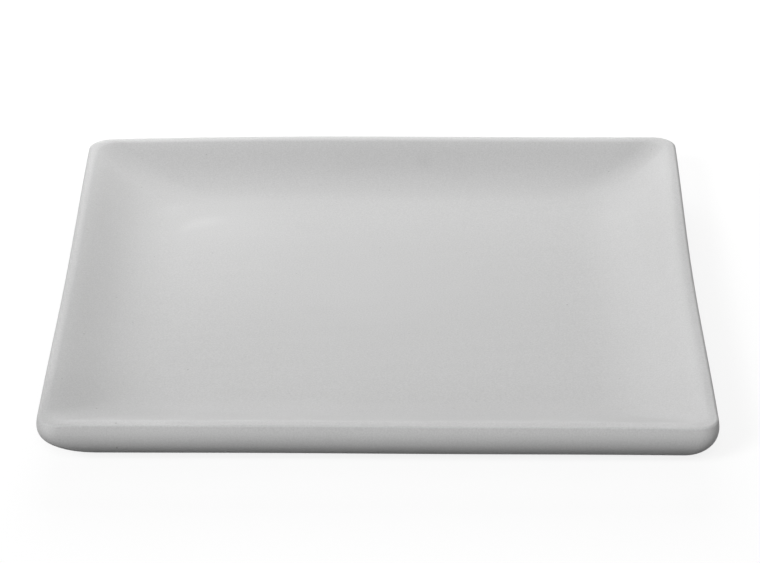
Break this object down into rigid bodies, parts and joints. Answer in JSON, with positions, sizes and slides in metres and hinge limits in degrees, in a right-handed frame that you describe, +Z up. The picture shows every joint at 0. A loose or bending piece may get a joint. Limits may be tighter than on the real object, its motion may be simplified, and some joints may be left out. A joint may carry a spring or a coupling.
{
  "type": "bread plate",
  "caption": "Small square plate with a shallow well, sloping walls, a narrow rounded lip and a thick edge that turns under to a low foot ring; for bread and butter at table.",
  "frame": {"origin": "middle of the plane that the foot ring stands on", "axes": "+Z up out of the well, X and Y along the sides; the pictured front is -Y"},
  "size_m": [0.152, 0.152, 0.0135],
  "materials": {
    "clay": "bare fired white clay, dry and matte",
    "glaze": "satin-matte white glaze"
  },
  "bodies": {
    "root": {"clay_body": "clay", "face_glaze": "glaze", "base_glaze": "glaze"}
  },
  "joints": []
}
